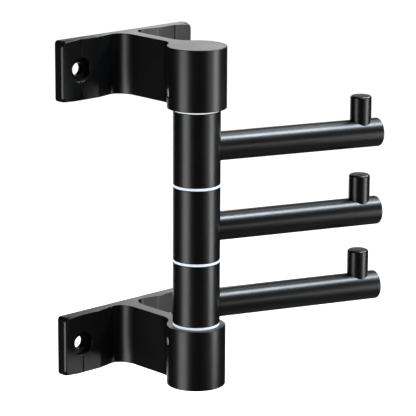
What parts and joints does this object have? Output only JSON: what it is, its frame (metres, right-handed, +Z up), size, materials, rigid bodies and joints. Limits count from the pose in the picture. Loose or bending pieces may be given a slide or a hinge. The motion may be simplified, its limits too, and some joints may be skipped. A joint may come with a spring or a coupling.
{
  "type": "swing arm towel bar",
  "caption": "Wall-mounted towel rack: short round arms with upright end pins swing on an upright spindle between an upper and a lower bracket.",
  "frame": {"origin": "middle of the four wall screw holes, on the wall plane", "axes": "+Z up along the spindle, +Y into the wall, +X along the wall to the right seen from the front"},
  "size_m": [0.1133, 0.0791, 0.14],
  "materials": {
    "black_aluminium": "black anodised, satin",
    "steel": "plain turned steel",
    "white_nylon": "smooth white nylon"
  },
  "bodies": {
    "root": {"upper_bracket": "black_aluminium", "lower_bracket": "black_aluminium", "spindle": "steel", "upper_set_screw": "steel", "lower_set_screw": "steel", "top_washer": "white_nylon", "upper_middle_washer": "white_nylon", "lower_middle_washer": "white_nylon", "bottom_washer": "white_nylon"},
    "upper_arm": {"upper_sleeve": "black_aluminium", "upper_sleeve_top_bush": "white_nylon", "upper_sleeve_bottom_bush": "white_nylon", "upper_rod": "black_aluminium", "upper_rod_stud": "steel", "upper_hook_pin": "black_aluminium", "upper_pin_stud": "steel"},
    "middle_arm": {"middle_sleeve": "black_aluminium", "middle_sleeve_top_bush": "white_nylon", "middle_sleeve_bottom_bush": "white_nylon", "middle_rod": "black_aluminium", "middle_rod_stud": "steel", "middle_hook_pin": "black_aluminium", "middle_pin_stud": "steel"},
    "lower_arm": {"lower_sleeve": "black_aluminium", "lower_sleeve_top_bush": "white_nylon", "lower_sleeve_bottom_bush": "white_nylon", "lower_rod": "black_aluminium", "lower_rod_stud": "steel", "lower_hook_pin": "black_aluminium", "lower_pin_stud": "steel"}
  },
  "joints": [
    {"name": "upper_arm_swing", "type": "hinge", "parent": "root", "child": "upper_arm", "pos_m": [0, -0.046, 0.0289], "axis": [0, 0, 1], "range_deg": [-188, 48]},
    {"name": "middle_arm_swing", "type": "hinge", "parent": "root", "child": "middle_arm", "pos_m": [0, -0.046, -0.0023], "axis": [0, 0, 1], "range_deg": [-188, 48]},
    {"name": "lower_arm_swing", "type": "hinge", "parent": "root", "child": "lower_arm", "pos_m": [0, -0.046, -0.0312], "axis": [0, 0, 1], "range_deg": [-188, 48]}
  ]
}
